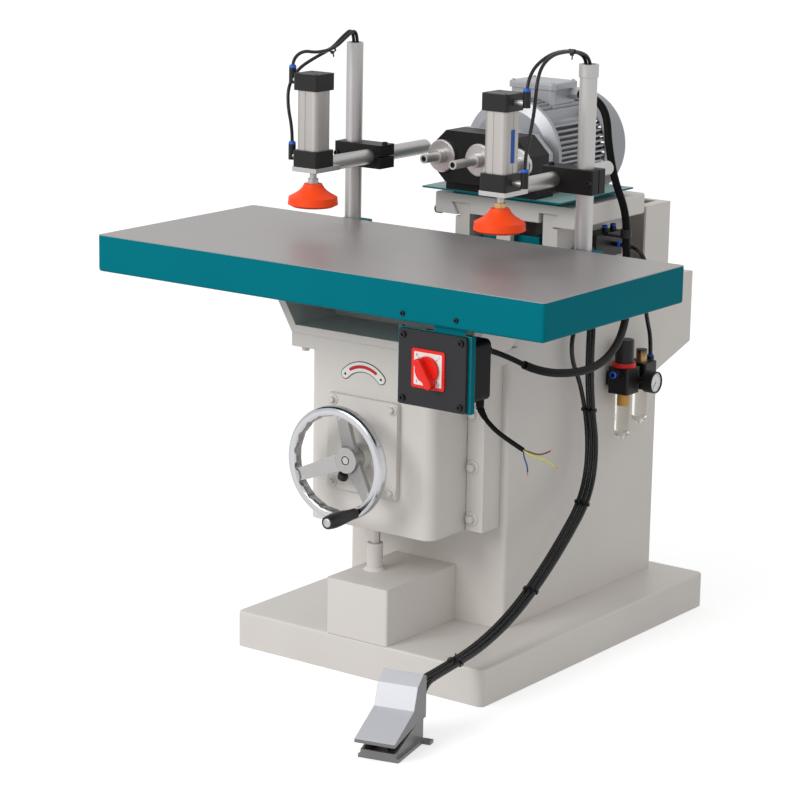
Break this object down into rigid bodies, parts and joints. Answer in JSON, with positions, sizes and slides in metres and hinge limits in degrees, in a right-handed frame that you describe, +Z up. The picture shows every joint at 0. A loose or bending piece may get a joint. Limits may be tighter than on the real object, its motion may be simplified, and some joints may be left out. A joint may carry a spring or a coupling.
{
  "type": "multi-spindle boring machine",
  "caption": "Floor-standing horizontal boring machine: geared spindles on a sliding motor head, a crank-raised work table, pneumatic hold-down clamps and a foot pedal.",
  "frame": {"origin": "middle of the base's footprint on the floor", "axes": "+Z up, +X along the table to the operator's right, +Y away from the operator towards the motor"},
  "size_m": [0.92, 1.1445, 1.0856],
  "materials": {
    "body_paint": "satin off-white",
    "teal_paint": "satin teal",
    "ground_iron": "ground",
    "bright_steel": "bright",
    "aluminium": "satin anodised",
    "motor_paint": "silver-grey enamel",
    "black_paint": "satin black",
    "black_plastic": "matt black",
    "gloss_black": "gloss black",
    "orange_rubber": "matt orange",
    "red_plastic": "gloss red",
    "clear_bowl": "clear",
    "black_hose": "matt black",
    "brass": "turned",
    "pedal_grey": "grey enamel",
    "pedal_pad": "pale grey enamel"
  },
  "bodies": {
    "frame": {"base_frame": "body_paint", "column": "body_paint", "screw_pedestal": "body_paint", "lift_nut": "brass", "slide_bed": "body_paint", "feed_cylinder": "aluminium", "rear_housing": "body_paint", "air_regulator": "black_plastic", "filter_bowls": "clear_bowl", "air_valve": "black_paint", "pedal_base": "pedal_grey", "pedal_hoses": "black_hose", "air_hose": "black_hose", "switch_conduit": "black_hose", "motor_conduit": "black_hose"},
    "knee": {"knee": "body_paint", "shaft_cover": "body_paint", "table_saddle": "body_paint", "work_table": "teal_paint", "clamp_posts": "bright_steel", "post_brackets": "body_paint", "switch_bracket": "teal_paint", "switch_box": "black_plastic", "mains_lead": "black_hose"},
    "handwheel": {"handwheel": "black_plastic", "wheel_shaft": "bright_steel"},
    "wheel_grip": {"wheel_grip": "gloss_black"},
    "lift_screw": {"lift_screw": "bright_steel"},
    "head": {"carriage": "body_paint", "head_riser": "teal_paint", "feed_rod": "bright_steel", "gearbox_housing": "black_paint", "spindle_flanges": "aluminium", "end_shield": "motor_paint", "motor_frame": "motor_paint", "fan_cover": "motor_paint", "terminal_box": "motor_paint"},
    "rotor": {"motor_rotor": "bright_steel", "centre_spindle": "bright_steel"},
    "left_spindle": {"left_spindle": "bright_steel"},
    "right_spindle": {"right_spindle": "bright_steel"},
    "left_idler": {"left_idler": "bright_steel"},
    "right_idler": {"right_idler": "bright_steel"},
    "switch_knob": {"switch_knob": "red_plastic"},
    "air_knob": {"air_knob": "black_plastic"},
    "treadle": {"pedal_treadle": "pedal_pad"},
    "left_clamp": {"left_clamp_block": "black_paint", "left_clamp_arm": "bright_steel", "left_cylinder_barrel": "aluminium", "left_cylinder_caps": "black_paint", "left_clamp_hoses": "black_hose"},
    "left_press": {"left_press_rod": "bright_steel", "left_press_pad": "orange_rubber"},
    "right_clamp": {"right_clamp_block": "black_paint", "right_clamp_arm": "bright_steel", "right_cylinder_barrel": "aluminium", "right_cylinder_caps": "black_paint", "right_clamp_hoses": "black_hose"},
    "right_press": {"right_press_rod": "bright_steel", "right_press_pad": "orange_rubber"}
  },
  "joints": [
    {"name": "handwheel_turn", "type": "hinge", "parent": "knee", "child": "handwheel", "pos_m": [-0.028, -0.391, 0.38], "axis": [0, 1, 0], "range_deg": [-2161, 5041]},
    {"name": "knee_lift", "type": "slide", "parent": "frame", "child": "knee", "axis": [0, 0, 1], "range_m": [-0.03, 0.07], "deforming": ["switch_conduit"]},
    {"name": "lift_screw_turn", "type": "hinge", "parent": "knee", "child": "lift_screw", "pos_m": [-0.028, -0.278, 0.3], "axis": [0, 0, 1], "range_deg": [-5041, 2161]},
    {"name": "grip_spin", "type": "hinge", "parent": "handwheel", "child": "wheel_grip", "pos_m": [0.02156, -0.44, 0.30368], "axis": [0, 1, 0], "continuous": true},
    {"name": "head_feed", "type": "slide", "parent": "frame", "child": "head", "axis": [0, -1, 0], "range_m": [0, 0.08], "deforming": ["motor_conduit"]},
    {"name": "motor_spin", "type": "hinge", "parent": "head", "child": "rotor", "pos_m": [0, 0.15, 0.8622], "axis": [0, 1, 0], "continuous": true},
    {"name": "left_spindle_spin", "type": "hinge", "parent": "head", "child": "left_spindle", "pos_m": [-0.08, 0, 0.8622], "axis": [0, 1, 0], "continuous": true},
    {"name": "right_spindle_spin", "type": "hinge", "parent": "head", "child": "right_spindle", "pos_m": [0.08, 0, 0.8622], "axis": [0, 1, 0], "continuous": true},
    {"name": "left_idler_spin", "type": "hinge", "parent": "head", "child": "left_idler", "pos_m": [-0.04, 0, 0.8622], "axis": [0, 1, 0], "continuous": true},
    {"name": "right_idler_spin", "type": "hinge", "parent": "head", "child": "right_idler", "pos_m": [0.04, 0, 0.8622], "axis": [0, 1, 0], "continuous": true},
    {"name": "left_clamp_height", "type": "slide", "parent": "knee", "child": "left_clamp", "axis": [0, 0, 1], "range_m": [0, 0.08]},
    {"name": "left_pad_press", "type": "slide", "parent": "left_clamp", "child": "left_press", "axis": [0, 0, -1], "range_m": [0, 0.045]},
    {"name": "right_clamp_height", "type": "slide", "parent": "knee", "child": "right_clamp", "axis": [0, 0, 1], "range_m": [0, 0.08]},
    {"name": "right_pad_press", "type": "slide", "parent": "right_clamp", "child": "right_press", "axis": [0, 0, -1], "range_m": [0, 0.045]},
    {"name": "switch_turn", "type": "hinge", "parent": "knee", "child": "switch_knob", "pos_m": [0.241, -0.515, 0.603], "axis": [0, 1, 0], "range_deg": [0, 90]},
    {"name": "air_knob_turn", "type": "hinge", "parent": "frame", "child": "air_knob", "pos_m": [0.198, 0.164, 0.51], "axis": [0, 0, 1], "range_deg": [-540, 540]},
    {"name": "pedal_press", "type": "hinge", "parent": "frame", "child": "treadle", "pos_m": [0.2524, -0.57846, 0.05], "axis": [0.9744, 0.225, 0], "range_deg": [0, 8], "stiffness_Nm_per_rad": 4, "springref_deg": -14.32}
  ],
  "couplings": [
    {"joint": "handwheel_turn", "follows": "knee_lift", "rad_per_m": 1256.6},
    {"joint": "lift_screw_turn", "follows": "knee_lift", "rad_per_m": -1256.6},
    {"joint": "left_idler_spin", "follows": "motor_spin", "ratio": -1},
    {"joint": "right_idler_spin", "follows": "motor_spin", "ratio": -1},
    {"joint": "left_spindle_spin", "follows": "motor_spin", "ratio": 1},
    {"joint": "right_spindle_spin", "follows": "motor_spin", "ratio": 1}
  ]
}
